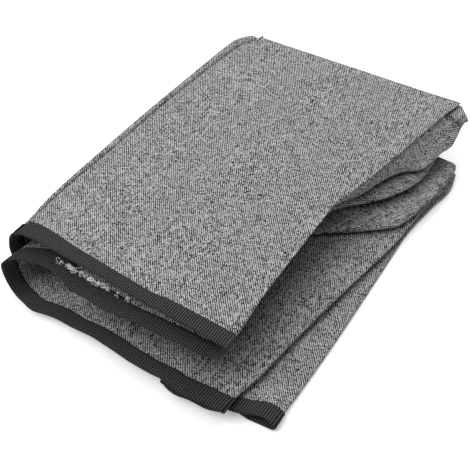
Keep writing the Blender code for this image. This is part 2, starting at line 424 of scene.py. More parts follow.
SLEEVE_FOLDS: dict[str, Fold] = {
    OUTER_WALL: CreasedFold((
        Crease(WALL_LIP_YS, (0.6, -0.6, -2.4, -3.4, -4, -4.8, -2.4, -0.8, 2.6, 8.6, 13),
            (63.4, 63.5, 63.5, 63.5, 63.5, 63.5, 63.5, 63.5, 63.5, 63.5, 63.4), 0),
        Crease(WALL_LIP_YS, (0.4, -0.6, -2, -3, -3.4, -4.2, -1.8, 0, 3.6, 9.6, 14),
            (62.8, 61.4, 59.8, 59.2, 59, 59, 58.6, 58, 57.4, 57, 57.4), 0.3),
        Crease(WALL_LIP_YS, (-0.6, -1.6, -3.4, -4.4, -5, -5.8, -3.6, -2.2, 0.4, 5.4, 10),
            (62.8, 58.8, 51.6, 48, 46, 46, 46, 46, 46, 47.6, 51), 0.5),
        Crease(WALL_STRIP_YS, (-2, -3, -5, -6.2, -7, -7.8, -5.8, -4.6, -2.6, 1.2, 6.6, 11.4),
            (62.7, 61.8, 60.4, 59.9, 59.8, 59.8, 59.6, 59.4, 59, 58.8, 59.6, 60.4), 0.2),
        Crease(WALL_STRIP_YS, (-3, -3.8, -6.2, -7.6, -8.8, -9.6, -8, -7, -5.6, -2.6, 4.4, 10.4),
            (62, 62.2, 62.6, 62.6, 62.6, 62.6, 62.6, 62.4, 62, 61.8, 61.8, 61.8)),
        Crease(WALL_STRIP_YS, (-4, -5, -8.3, -10.6, -12.8, -13.6, -13.2, -13, -12, -9, -1, 7),
            (61, 61.4, 62.4, 62.6, 62.8, 62.8, 62.8, 62.8, 62.4, 62.2, 62, 61.6)),
        Crease((-30, 2, 70, 160, 195, 310, 354, 372, 381, 390), (-8, -7.2, -11.8, -15.2, -15.6,
            -15.8, -15.2, -12.2, -5, 4),
            (55, 56, 56.8, 57.2, 57.2, 57.6, 57.8, 57.4, 57, 56.4)),
        Crease((-30, 0, 70, 160, 195, 310, 354, 372, 390), (-13.6, -10.6, -13, -17, -15.6, -18,
            -18, -17, -11.5),
            (40, 42, 43, 43, 43, 43, 43, 43, 42)),
        Crease(WALL_FOOT_YS, (-15, -11, -12.6, -16, -17.4, -11), (28, 26, 24, 24, 24, 24)),
        Crease(WALL_FOOT_YS, (-10, -8.6, -10.2, -13.4, -14.6, -8.6), (9, 8, 7, 7, 7, 7)),
        Crease((-30, -1, 14, 150, 310, 390), (0, 0, -1, -8, -9, -2),
            (1.8, 1.8, 0.7, 0.7, 0.7, 0.7))), steps=63),
    "top_edge": CreasedFold((
        Crease((-30, 0, 54, 171, 193, 231, 274, 310, 349, 390), (224, 224.2, 222.4, 222.2, 228,
            236, 243.7, 250, 257, 266.5),
            (63.5, 63.5, 63.5, 63.5, 63.5, 63.5, 63.5, 63.5, 63.5, 63.5), 0.1),
        Crease((-30, 0, 54, 171, 193, 231, 274, 310, 340, 352, 390), (224, 223.8, 221.6, 221,
            226.4, 234, 241.8, 248.4, 254.6, 257, 266.6),
            (61.4, 61.6, 61.8, 62, 62.2, 62.2, 62.2, 62.2, 62, 61.6, 61.8), 0.4),
        Crease(EDGE_LIP_YS, (224.2, 223.8, 220.4, 219.2, 225.4, 234.6, 243.6, 250.4, 253.2, 256.6,
            259.4, 268),
            (58.4, 58.4, 58.4, 58.6, 59.4, 59.6, 59.8, 59.8, 59.4, 58.6, 58.2, 58)),
        Crease(EDGE_LIP_YS, (222.8, 222.2, 218.6, 217.4, 225.4, 237, 247, 254, 256.6, 262, 265, 270),
            (54.8, 54.6, 54.6, 54.4, 55, 55.6, 56, 56.2, 55.2, 54.4, 54, 54), 0.25),
        Crease(EDGE_ROLL_YS, (221, 220.2, 216.6, 214.6, 222.4, 234.6, 243.4, 251.4, 256.6, 261, 268.6,
            270.6, 272.4, 271),
            (52.6, 52.4, 51.8, 51.2, 51.4, 52, 52.2, 51.6, 51.2, 51, 50.2, 50.4, 51.4, 52), 0.9),
        Crease(EDGE_ROLL_YS, (219.4, 218.6, 215, 212, 220.4, 233, 243.4, 254.6, 263, 267.6, 274.8,
            275.6, 275.4, 276.6),
            (51.2, 50.8, 50, 49.2, 48.6, 48, 47.2, 46.6, 46.6, 46.8, 46.4, 47, 47.6, 48), 0.7),
        Crease((-30, 0, 54, 171, 193, 216, 246, 259, 271, 277, 282, 296, 318, 340, 352, 374, 390),
            (217.6, 216.8, 213.4, 210.6, 219, 230.6, 238.4, 243.8, 249.6, 256.4, 263.4, 269.4,
            273.2, 278.8, 278.4, 276.6, 278.4),
            (50.2, 49.6, 48.8, 48, 46.6, 44.8, 43.4, 43.2, 43.2, 43.2, 43.2, 43.2, 43.2, 43.6,
                44.6, 46.2, 47.4), 0.1),
        Crease((-30, 0, 110, 180, 215, 276, 312, 346, 390), (213, 212, 208.5, 206, 218, 236, 250,
            268, 270),
            (49.5, 48.5, 47, 46, 43.2, 41.8, 41.8, 42, 44))), steps=56),
    "pleat_root_high": RoundFold(Side.LEFT, (
        Turn(60, 172, 45, 42, 3, 3), Turn(130, 172, 45, 42, 3, 3),
        Turn(350, 222, 41, 37.5, 3, 3)), steps=6, pleat=0),
    "pleat_high": RoundFold(Side.RIGHT, (
        Turn(60, 186, 39.2, 36, 3, 3), Turn(130, 190, 39.4, 35.8, 3.5, 3.5),
        Turn(195, 216.4, 39.6, 33, 8, 7, 0.3), Turn(228, 243.5, 38.8, 32, 10, 6, 0.3),
        Turn(249, 257, 38.2, 31.4, 11, 6, 0.3), Turn(269, 265, 37.6, 31, 12, 6, 0.3),
        Turn(290, 270, 37.4, 30.8, 12, 6, 0.3), Turn(310, 270, 37, 30.6, 12, 6, 0.3),
        Turn(350, 266, 36.5, 30.6, 10, 6, 0.3)), steps=18, pleat=1),
    "pleat_root_low": RoundFold(Side.LEFT, (
        Turn(60, 160, 33.2, 30, 3, 3), Turn(130, 160, 33.2, 29.8, 3, 3),
        Turn(350, 225, 30, 26.5, 2.5, 2.5)), steps=6, pleat=2),
    "pleat_low": RoundFold(Side.RIGHT, (
        Turn(60, 178, 27, 23.6, 3, 3), Turn(120, 184, 27, 22, 4, 4), Turn(145, 191, 26, 19, 6, 6),
        Turn(160, 201, 24, 16.5, 7, 6), Turn(184, 229, 23, 15.5, 7, 6),
        Turn(211, 261, 22, 15, 7, 5), Turn(224, 273, 21.5, 14.8, 6, 5),
        Turn(268, 284, 21.5, 14.8, 6, 5), Turn(310, 290, 22, 15, 6, 5),
        Turn(350, 289, 23, 16, 6, 5)), steps=14, pleat=3),
    "inner_loop": RoundFold(Side.LEFT, (
        Turn(-50, -4, 44.5, 9.5, 12, 24, 0.85), Turn(-40, -4, 44.5, 8.5, 12, 24, 0.85),
        Turn(-24, -3, 44.5, 7, 12, 24, 0.85), Turn(0, -2, 44.5, 6.5, 12, 22, 0.85),
        Turn(100, -3, 43, 6.5, 12, 18, 0.85), Turn(200, -3, 38, 6.5, 12, 14, 0.85),
        Turn(360, -3, 32, 6.5, 12, 12, 0.85)), steps=24),
    "middle_edge": RoundFold(Side.RIGHT, (
        Turn(-40, 239, 17.8, 13.4, 2, 2.4), Turn(-24, 240, 16.2, 11.8, 1.8, 2.4),
        Turn(0, 245, 14.2, 10, 1.8, 3), Turn(46, 251, 13.5, 9.4, 1.8, 4),
        Turn(128, 264, 12.5, 9, 1.8, 4), Turn(210, 278.5, 11.8, 8.6, 1.8, 4),
        Turn(268, 284, 11.4, 8.4, 1.8, 4), Turn(310, 290, 11.2, 8.2, 1.8, 4),
        Turn(350, 289, 13, 9.8, 1.8, 4))),
    "middle_root": RoundFold(Side.LEFT, (
        Turn(-50, 177, 12, 6, 3, 3), Turn(-20, 179, 11.2, 5.9, 2.6, 2.6),
        Turn(100, 195, 8.4, 5, 2.5, 2.5), Turn(250, 240, 7.8, 4.4, 2.5, 2.5),
        Turn(350, 252, 7.8, 4.2, 2.5, 2.5)), steps=8),
    "bottom_edge": RoundFold(Side.RIGHT, (
        Turn(-30, 277.8, 9.4, 1.8, 3.4, 2.6, 0.6), Turn(-14, 277.8, 8.6, 1.8, 3, 2.6, 0.6),
        Turn(0, 278, 5.8, 1.4, 2.4, 2.6), Turn(12, 278.6, 4.6, 0.7, 2.2, 3),
        Turn(100, 280.6, 4, 0.7, 2.2, 4), Turn(220, 281, 3.8, 0.7, 2.2, 4),
        Turn(280, 288, 3.8, 0.7, 2.2, 4), Turn(318, 294.6, 3.8, 0.7, 2.2, 4),
        Turn(350, 290, 5, 0.7, 2.2, 4))),
}

SLEEVE_LAYERS: dict[str, Layer] = {
    OUTER_WALL: Layer(48, (
        (0.0, -16.4), (0.085, -14.2), (0.14, -13.7), (0.24, -14.2), (0.345, -14.1),
        (0.52, -14.9), (0.6, -15.4), (0.7, -15.8), (1.0, -16.1)), 383, 387,
        turn_hem=((0.0, -20.0), (0.5, -21.0), (0.8, -18.4), (1.0, -16.4)),
        turn_far=((0.0, 368.0), (0.17, 378.0), (0.6, 382.0), (0.8, 386.0), (1.0, 388.0)),
        fine=((0.0, 0.03, 8), (0.965, 1.0, 14)),
        tape=((0.0, 17.2), (0.07, 17.0), (0.14, 15.6), (0.3, 13.2), (0.48, 12.0), (0.64, 12.0),
              (0.71, 14.0), (0.85, 14.6), (1.0, 15.2))),
    "top_edge": Layer(9, ((0.0, -22.6), (0.3, -25.0), (1.0, -25.4)), 366, 344, turn_far=(
        (0.0, 387), (0.05, 372), (0.12, 358), (0.3, 359), (0.42, 376), (0.6, 386),
        (0.9, 386), (1.0, 374))),
    "pleat_root_high": Layer(8, ((0.0, -25.7), (1.0, -26.4)), 342, 338),
    "pleat_high": Layer(8, ((0.0, -27.0), (1.0, -27.6)), 337, 340,
                        grain=((-50, 0), (400, 110))),
    "pleat_root_low": Layer(10, ((0.0, -28.2), (1.0, -29.0)), 341, 338,
                            grain=((-50, 0), (400, 110))),
    "pleat_low": Layer(40, (
        (0.0, -30.0), (0.2, -31.4), (0.35, -30.4), (0.46, -30.6), (0.58, -25.9),
        (0.68, -22.9), (0.81, -22.8), (0.92, -26.4), (1.0, -28.5)), 338, 362,
        fine=((0.0, 0.34, 40),), tape=((0.0, 16.0), (0.12, 19.0), (0.3, 20.0), (0.9, 20.0),
                                       (1.0, 17.0))),
    "inner_loop": Layer(44, (
        (0.0, -46.5), (0.06, -49.0), (0.13, -46.0), (0.2, -44.4), (0.28, -44.3), (0.38, -44.0),
        (0.45, -45.0), (0.535, -46.0), (0.6, -46.3), (0.67, -46.1), (0.72, -45.5),
        (0.76, -45.7), (0.8, -47.3), (0.83, -47.8), (0.87, -46.9), (0.92, -45.5),
        (0.967, -44.6), (1.0, -43.8)), 360, 345, 0.6,
        grain=((-50, 0), (400, 68)),
        turn_hem=((0.0, -28.5), (0.15, -32.0), (0.4, -39.0), (0.7, -43.0), (1.0, -46.5)),
        fine=((0.68, 0.96, 48), (0.96, 1.0, 16)),
        tape=((0.0, 15.5), (0.2, 14.6), (0.33, 13.2), (0.5, 14.2), (0.7, 13.8), (0.78, 15.3),
              (0.85, 17.0), (1.0, 16.6))),
    "middle_edge": Layer(12, ((0.0, -41.6), (0.25, -45.8), (0.5, -46.2), (0.75, -48.3),
                              (0.9, -47.2), (1.0, -44.6)), 344, 344),
    "middle_root": Layer(24, (
        (0.0, -43.0), (0.45, -36.0), (0.62, -34.4), (0.76, -31.0), (0.87, -26.0),
        (0.94, -25.0), (1.0, -26.0)), 344, 344, grain=((-50, 0), (400, 24))),
    "bottom_edge": Layer(40, (
        (0.0, -27.0), (0.045, -28.6), (0.08, -29.8), (0.13, -28.6), (0.22, -26.0),
        (1.0, -21.0)), 344, 368),
}


@dataclass(frozen=True)
class Trough:
    """A soft crease between two points of a layer; a negative depth makes it a ridge.

    fade is the share of its length over which it dies away at each end, and sharpness is
    the power that its sides fall off with.
    """

    start: tuple[float, float]
    end: tuple[float, float]
    depth: float
    width: float
    fade: float = 0.15
    sharpness: float = 1.3

    def at(self, x: float, along: float) -> float:
        """Work out the trough's depth at a point.

        Args:
            x: Place across.
            along: Place along the cover.

        Returns:
            The depth, 0 past its ends.
        """
        (ax, ay), (bx, by) = self.start, self.end
        dx, dy = bx - ax, by - ay
        share = ((x - ax) * dx + (along - ay) * dy) / (dx * dx + dy * dy)
        if not 0.0 < share < 1.0:
            return 0.0
        gap = math.hypot(x - ax - dx * share, along - ay - dy * share)
        fade = ease(share / self.fade) * ease((1.0 - share) / self.fade)
        return self.depth * fade * math.exp(-(gap / self.width) ** self.sharpness)


TROUGHS: dict[str, tuple[Trough, ...]] = {
    "pleat_low": (
        Trough((212, 166), (252, 256), -3.0, 2.6),
        Trough((206, 184), (240, 266), 1.8, 5.0),
        Trough((262, 318), (276, 344), 2.4, 2.0),
        Trough((272, 346), (284, 330), 2.0, 1.8),
        Trough((256, 330), (270, 322), -1.6, 2.2),
        Trough((280, 322), (287, 336), -1.4, 2.0)),
    "inner_loop": (
        Trough((226, 40), (252, 160), -0.5, 3.0),
        Trough((262, 210), (279, 300), 0.8, 2.4),
        Trough((236, 20), (262, 150), 0.4, 2.2)),
}

STIFF = ((0.12, 40.0, 5.0),)
RIPPLES: dict[str, tuple[tuple[float, float, float], ...]] = {
    OUTER_WALL: ((0.45, 85.0, 1.0), (0.12, 24.0, 2.0)),
    "inner_loop": ((0.5, 60.0, 3.0), (0.25, 26.0, 4.0)),
    "middle_root": STIFF, "bottom_edge": STIFF, "middle_edge": STIFF,
}

SIDE_SEAM = Course(((-30, 199.6), (-5, 199.2), (49, 205.4), (80, 209.8), (121, 218.3),
                    (177, 228.8), (280, 250.0), (350, 263.0)))


@dataclass(frozen=True)
class Relief:
    """Soft unevenness of the cloth, and the creases pressed into it by hand.

    ripples lists (height, size, seed) by layer, and loose is (height, size) of any other
    layer, whose seed is its name's length. The seam's doubled cloth stands seam_height
    proud, out to seam_reach each side.
    """

    troughs: dict[str, tuple[Trough, ...]]
    ripples: dict[str, tuple[tuple[float, float, float], ...]]
    seam: Course
    loose: tuple[float, float] = (0.35, 34.0)
    seam_height: float = 0.7
    seam_reach: float = 3.2

    def at(self, layer: str, x: float, along: float) -> float:
        """Work out how far the cloth of a layer stands above its plain shape.

        Args:
            layer: The layer's name.
            x: Place across.
            along: Place along the cover.

        Returns:
            The height.
        """
        ripples = self.ripples.get(layer, ((*self.loose, len(layer)),))
        height = sum(high * ripple(x, along, size, seed) for high, size, seed in ripples)
        if layer == "inner_loop":
            height += self.seam_ridge(x, along)
        return height - sum(trough.at(x, along) for trough in self.troughs.get(layer, ()))

    def seam_ridge(self, x: float, along: float) -> float:
        """Return the height of the side seam's doubled cloth above the single cloth."""
        offset = x - self.seam.at(along)[0]
        return self.seam_height * math.exp(-(offset / self.seam_reach) ** 4)


@dataclass
class Layout:
    """Turns the cover's own layout into the part's frame."""

    shift: Vector

    @classmethod
    def from_frame(cls) -> "Layout":
        """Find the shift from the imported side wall, whose far left corner is known.

        Returns:
            The layout.
        """
        wall_left, wall_far = 19.5, 387.0
        low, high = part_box("side_wall")
        return cls(Vector((low.x + wall_left * MM, high.y - wall_far * MM, 0.0)))

    def place(self, point: Vector) -> Vector:
        """Return a layout point as metres in the part's frame."""
        return point * MM + self.shift


def mesh_from(bm: bmesh.types.BMesh, name: str) -> bpy.types.Mesh:
    """Turn a finished bmesh into a mesh.

    Args:
        bm: The bmesh, which is freed.
        name: The mesh's name.

    Returns:
        The mesh.
    """
    mesh = bpy.data.meshes.new(name)
    bm.to_mesh(mesh)
    bm.free()
    return mesh


def joined_to(verts: Iterable[bmesh.types.BMVert]) -> list[bmesh.types.BMVert]:
    """Find every vertex that edges join to some vertices.

    Args:
        verts: Where to start.

    Returns:
        Those vertices and all that are joined to them.
    """
    found = set(verts)
    waiting = list(found)
    while waiting:
        for edge in waiting.pop().link_edges:
            for vert in edge.verts:
                if vert not in found:
                    found.add(vert)
                    waiting.append(vert)
    return list(found)


def finished_object(mesh: bpy.types.Mesh, material: bpy.types.Material) -> bpy.types.Object:
    """Link a mesh as a piece at the origin, under its own name, and let it ride.

    Args:
        mesh: The mesh, already in its place.
        material: The finish it takes.

    Returns:
        The new object.
    """
    mesh.materials.append(material)
    piece = bpy.data.objects.new(mesh.name, mesh)
    bpy.context.scene.collection.objects.link(piece)
    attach(piece, ROOT)
    return piece


def sheet_mesh(name: str, rows: Sequence[Sequence[Vector]], runs: Sequence[Sequence[tuple]],
               closed: bool) -> bpy.types.Mesh:
    """Lay a flat grid of cloth over rows of points.

    Args:
        name: The mesh's name.
        rows: Rows of points in the part's frame; every row has the same number.
        runs: For each row, one pair of cloth coordinates (left, right) for each column of
            faces, each (across, along) in metres of cloth.
        closed: Whether each row's end is joined to its start.

    Returns:
        The mesh, smooth shaded, with its cloth coordinates in a UV map.
    """
    across = len(rows[0]) if closed else len(rows[0]) - 1
    down = len(rows) - 1
    half, same_place = 0.5, 1e-7
    bm = bmesh.new()
    uv = bm.loops.layers.uv.new("cloth")
    bmesh.ops.create_grid(bm, x_segments=across, y_segments=down, size=half)
    column = {vert: round((vert.co.x + half) * across) for vert in bm.verts}
    row = {vert: round((vert.co.y + half) * down) for vert in bm.verts}
    for face in bm.faces:
        left = min(column[loop.vert] for loop in face.loops)
        for loop in face.loops:
            pair = runs[row[loop.vert]][left]
            loop[uv].uv = pair[0] if column[loop.vert] == left else pair[1]
        face.smooth = True
    for vert in bm.verts:
        vert.co = rows[row[vert]][column[vert] % len(rows[0])]
    if closed:
        bmesh.ops.remove_doubles(bm, verts=bm.verts, dist=same_place)
    return mesh_from(bm, name)


def cloth_piece(mesh: bpy.types.Mesh, material: bpy.types.Material,
                thickness: float) -> bpy.types.Object:
    """Make a sheet's mesh a piece with a thickness, half to each side.

    Args:
        mesh: The sheet's middle surface.
        material: The finish it takes.
        thickness: The cloth's thickness in millimetres.

    Returns:
        The piece.
    """
    piece = finished_object(mesh, material)
    solidify = piece.modifiers.new("thickness", "SOLIDIFY")
    solidify.thickness = thickness * MM
    solidify.offset = 0.0
    solidify.use_even_offset = False
    return piece


class Socket:
    """A node's output that takes part in ordinary arithmetic."""

    def __init__(self, kit: "Finish", socket: bpy.types.NodeSocket) -> None:
        """Keep the socket and the finish whose nodes it belongs to."""
        self.kit = kit
        self.socket = socket

    def __add__(self, other: Any) -> "Socket":
        """Return this plus other."""
        return self.kit.math("ADD", self, other)

    def __radd__(self, other: Any) -> "Socket":
        """Return other plus this."""
        return self.kit.math("ADD", other, self)

    def __sub__(self, other: Any) -> "Socket":
        """Return this minus other."""
        return self.kit.math("SUBTRACT", self, other)

    def __rsub__(self, other: Any) -> "Socket":
        """Return other minus this."""
        return self.kit.math("SUBTRACT", other, self)

    def __mul__(self, other: Any) -> "Socket":
        """Return this times other."""
        return self.kit.math("MULTIPLY", self, other)

    def __rmul__(self, other: Any) -> "Socket":
        """Return other times this."""
        return self.kit.math("MULTIPLY", other, self)


class Finish:
    """A material whose nodes are written as expressions."""

    def __init__(self, name: str, roughness: float, sheen: float = 0.5) -> None:
        """Start a Principled material.

        Args:
            name: The material's name.
            roughness: Its roughness, the same all over.
            sheen: Its specular level.
        """
        self.material = bpy.data.materials.new(name)
        self.material.use_nodes = True
        self.tree = self.material.node_tree
        self.shader = self.tree.nodes["Principled BSDF"]
        self.shader.inputs["Roughness"].default_value = roughness
        self.shader.inputs["Metallic"].default_value = 0.0
        self.shader.inputs["Specular IOR Level"].default_value = sheen

    def node(self, kind: str, settings: dict[str, Any], values: dict[Any, Any],
             output: Union[int, str] = 0) -> Socket:
        """Add a node.

        Args:
            kind: The node's type.
            settings: Properties that are set before its sockets.
            values: Numbers or sockets for its inputs, by name or index.
            output: The output that is wanted.

        Returns:
            The output, ready for arithmetic.
        """
        made = self.tree.nodes.new(kind)
        for key, value in settings.items():
            setattr(made, key, value)
        for key, value in values.items():
            if isinstance(value, Socket):
                self.tree.links.new(value.socket, made.inputs[key])
            else:
                made.inputs[key].default_value = value
        return Socket(self, made.outputs[output])

    def math(self, operation: str, *values: Any) -> Socket:
        """Return a Math node's result for the values."""
        return self.node("ShaderNodeMath", {"operation": operation}, dict(enumerate(values)))

    def clamp(self, value: Socket) -> Socket:
        """Return a value held between 0 and 1."""
        return self.node("ShaderNodeClamp", {}, {"Value": value, "Min": 0.0, "Max": 1.0})

    def cloth_run(self) -> tuple[Socket, Socket]:
        """Read the piece's cloth coordinates.

        Returns:
            The millimetres across and along the cloth.
        """
        uv = self.node("ShaderNodeUVMap", {"uv_map": "cloth"}, {})
        across = self.node("ShaderNodeSeparateXYZ", {}, {"Vector": uv}, "X")
        along = Socket(self, across.socket.node.outputs["Y"])
        return across * (1.0 / MM), along * (1.0 / MM)

    def grain(self, across: Any, along: Any, seed: float, detail: float = 1.0) -> Socket:
        """Make noise at already scaled cloth coordinates.

        Args:
            across: Scaled place across.
            along: Scaled place along.
            seed: Depth in the noise, which tells one grain from another.
            detail: Finer layers that are added.

        Returns:
            The noise, between 0 and 1.
        """
        place = self.node("ShaderNodeCombineXYZ", {}, {"X": across, "Y": along, "Z": seed})
        return self.node("ShaderNodeTexNoise", {"noise_dimensions": "3D"},
                         {"Vector": place, "Scale": 1.0, "Detail": detail,
                          "Roughness": 0.5}, "Fac")

    def tones(self, value: Socket, stops: Sequence[tuple[float, float]]) -> Socket:
        """Make grey tones, the faintest bit warm.

        Args:
            value: A value between 0 and 1.
            stops: Pairs of place and linear brightness.

        Returns:
            The colour.
        """
        warmth = (1.0, 0.995, 0.99)
        ramp = self.tree.nodes.new("ShaderNodeValToRGB")
        while len(ramp.color_ramp.elements) < len(stops):
            ramp.color_ramp.elements.new(0.5)
        for element, (position, tone) in zip(ramp.color_ramp.elements, stops):
            element.position = position
            element.color = (*(tone * part for part in warmth), 1.0)
        self.tree.links.new(value.socket, ramp.inputs[0])
        return Socket(self, ramp.outputs[0])

    def wear(self, colour: Socket) -> None:
        """Use a colour as the base colour."""
        self.tree.links.new(colour.socket, self.shader.inputs["Base Color"])

    def emboss(self, height: Socket, distance: float) -> None:
        """Use a height between 0 and 1 as bump of a distance in millimetres."""
        bump = self.node("ShaderNodeBump", {}, {"Height": height, "Distance": distance * MM})
        self.tree.links.new(bump.socket, self.shader.inputs["Normal"])


@dataclass(frozen=True)
class HeatheredCloth:
    """Woven grey cloth with light and dark yarns, slubs both ways and a fine twill.

    stops are its tones' (place, brightness). twill is the ribs' turns for each millimetre
    across and along, and how fast the second changes. The pitches are in millimetres, and
    wander is the (frequency, reach) of the yarns' strays. yarn, fleck_size, slub_run and
    streak_run are noise frequencies, and the shares say how much each part adds. bump is
    the relief in millimetres, made of bump_shares of twill, ends and flecks.
    """

    name: str = "heathered_cloth"
    roughness: float = 0.95
    sheen: float = 0.25
    stops: tuple[tuple[float, float], ...] = ((0.4, 0.0), (0.5, 0.2), (0.6, 0.5))
    twill: tuple[float, float, float] = (0.423, 0.368, 0.00014)
    warp_pitch: float = 2.25
    weft_pitch: float = 2.75
    wander: tuple[float, float] = (0.05, 3.0)
    yarn: tuple[float, float] = (0.9, 0.42)
    fleck_size: float = 1.5
    fleck_gap: float = 0.9
    slub_run: tuple[float, float] = (0.03, 0.75)
    streak_run: tuple[float, float] = (0.75, 0.025)
    twill_share: float = 0.34
    ends_share: float = 3.4
    picks_share: float = 2.4
    fleck_share: float = 0.8
    slub_share: float = 0.4
    streak_share: float = 0.5
    bump: float = 0.3
    bump_shares: tuple[float, float, float] = (0.5, 1.2, 0.5)

    def material(self) -> bpy.types.Material:
        """Make the material.

        Returns:
            The cloth's material.
        """
        kit = Finish(self.name, self.roughness, self.sheen)
        across, along = kit.cloth_run()
        over, up, lean = self.twill
        often, stray = self.wander
        wander = kit.grain(across * often, along * often, 1.0) * stray
        rise = along * (up - along * lean)
        twill = kit.math("SINE", (across * over + rise) * math.tau + wander)
        warp = kit.math("SINE", across * (math.tau / self.warp_pitch) + wander)
        weft = kit.math("SINE", along * (math.tau / self.weft_pitch) + wander)
        thin, long = self.yarn
        ends = warp * (kit.grain(across * thin, along * long, 4.0) - 0.5)
        picks = weft * (kit.grain(across * long, along * thin, 5.0) - 0.5)
        size, gap = self.fleck_size, self.fleck_gap
        fleck = (kit.grain(across * size, along * size, 6.0, 0.0)
                 - kit.grain(across * size + gap, along * size - gap, 6.0, 0.0))
        slub = kit.grain(across * self.slub_run[0], along * self.slub_run[1], 7.0) - 0.5
        streak = kit.grain(across * self.streak_run[0], along * self.streak_run[1], 8.0) - 0.5
        mixed = (0.5 + twill * self.twill_share + ends * self.ends_share
                 + picks * self.picks_share + fleck * self.fleck_share
                 + slub * self.slub_share + streak * self.streak_share)
        kit.wear(kit.tones(kit.clamp(mixed), self.stops))
        ribs, yarns, flecks = self.bump_shares
        kit.emboss(twill * ribs + ends * yarns + fleck * flecks, self.bump)
        return kit.material


@dataclass(frozen=True)
class RibbedTape:
    """Black binding tape, woven with fine ribs across its width and finer ones along it.

    cross is the finer ribs' turns for each millimetre across and along, wander the
    (frequency, reach) of the ribs' strays, middle the tone where all of them are level and
    crown the lightest. The shares say how much ribs, finer ribs and flecks add to each.
    """

    name: str = "ribbed_tape"
    roughness: float = 0.85
    sheen: float = 0.12
    rib_pitch: float = 2.3
    cross: tuple[float, float] = (0.224, 0.547)
    wander: tuple[float, float] = (0.2, 1.2)
    fleck_size: float = 0.8
    middle: float = 0.42
    crown: float = 0.085
    bump: float = 0.4
    tone_shares: tuple[float, float, float] = (0.6, 0.45, 1.2)
    bump_shares: tuple[float, float, float] = (0.4, 0.2, 0.3)

    def material(self) -> bpy.types.Material:
        """Make the material.

        Returns:
            The tape's material.
        """
        kit = Finish(self.name, self.roughness, self.sheen)
        across, along = kit.cloth_run()
        often, stray = self.wander
        wander = kit.grain(across * often, along * often, 1.0) * stray
        rib = kit.math("SINE", across * (math.tau / self.rib_pitch) + wander)
        cross = kit.math("SINE", (across * self.cross[0] + along * self.cross[1]) * math.tau)
        fleck = kit.grain(across * self.fleck_size, along * self.fleck_size, 2.0) - 0.5
        ribs, finer, flecks = self.tone_shares
        tone = kit.clamp(self.middle + rib * ribs + cross * finer + fleck * flecks)
        kit.wear(kit.tones(tone, ((0.0, 0.0), (1.0, self.crown))))
        ribs, finer, flecks = self.bump_shares
        kit.emboss(rib * ribs + cross * finer + fleck * flecks, self.bump)
        return kit.material


@dataclass(frozen=True)
class Thread:
    """Plain twisted thread, flecked between a dark and a light tone."""

    name: str
    dark: float
    light: float
    roughness: float = 0.8
    fleck_scale: float = 900.0
    bump: float = 0.05

    def material(self) -> bpy.types.Material:
        """Make the material.

        Returns:
            The thread's material.
        """
        kit = Finish(self.name, self.roughness)
        place = kit.node("ShaderNodeTexCoord", {}, {}, "Object")
        fleck = kit.node("ShaderNodeTexNoise", {},
                         {"Vector": place, "Scale": self.fleck_scale}, "Fac")
        kit.wear(kit.tones(fleck, ((0.3, self.dark), (0.7, self.light))))
        kit.emboss(fleck, self.bump)
        return kit.material


@dataclass
class SideWall:
    """The sleeve of cloth, woven, joined and folded.

    Its section is laid down near_steps times over the first near_share of its length and
    far_steps times over the rest. It starts hem_inset inside the binding's fold.
    """

    layout: Layout
    sleeve: Sleeve
    finish: HeatheredCloth
    thickness: float = 0.8
    hem_inset: float = 1.2
    near_steps: int = 58
    far_steps: int = 29
    near_share: float = 0.75
    right_side_up: tuple[str, ...] = (OUTER_WALL, "inner_loop", "middle_root")
    flat: tuple[float, float] = (1.40, 0.39)

    def build(self) -> bpy.types.Object:
        """Returns:
            The cloth, standing for the side wall's solid.
        """
        places = self.sleeve.places()
        rows, runs = [], []
        for share in self._stations():
            points = [self.sleeve.point(place, blend(place.hem + self.hem_inset, place.far, share))
                      for place in places]
            rows.append([self.layout.place(point) for point in points])
            runs.append(self._runs(places, points))
        mesh = sheet_mesh("side_wall_cloth", rows, runs, closed=True)
        piece = cloth_piece(mesh, self.finish.material(), self.thickness)
        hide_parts("side_wall")
        return piece

    def _stations(self) -> list[float]:
        """Return the shares of the length at which the section is laid down."""
        near, far = self.near_steps, self.far_steps
        return ([self.near_share * step / near for step in range(near)]
                + [blend(self.near_share, 1.0, step / far) for step in range(far + 1)])

    def _runs(self, places: Sequence[Place], points: Sequence[Vector]) -> list[tuple]:
        """Measure the cloth of one section, each layer from its own start.

        Args:
            places: The places round the section.
            points: The cloth's point at each place.

        Returns:
            For each face column, its cloth coordinates at the left and at the right.
        """
        count = len(places)
        first: dict[str, int] = {}
        for i, place in enumerate(places):
            if not place.on_fold and place.layer not in first:
                first[place.layer] = i
        travelled = [0.0]
        for i in range(count):
            step = points[(i + 1) % count] - points[i]
            travelled.append(travelled[-1] + math.hypot(step.x, step.z))
        pairs = []
        for i in range(count):
            owner = places[i].layer
            base = first[owner]
            drift = self.sleeve.layers[owner].drift(points[base].y)
            facing = 1.0 if owner in self.right_side_up else -1.0
            pair = []
            for k in (i, i + 1):
                gone = travelled[k] - travelled[base]
                if i - base > count / 2:
                    gone -= travelled[count]
                across = points[base].x + facing * gone - drift
                pair.append((across * MM, points[k % count].y * MM))
            pairs.append(tuple(pair))
        return pairs


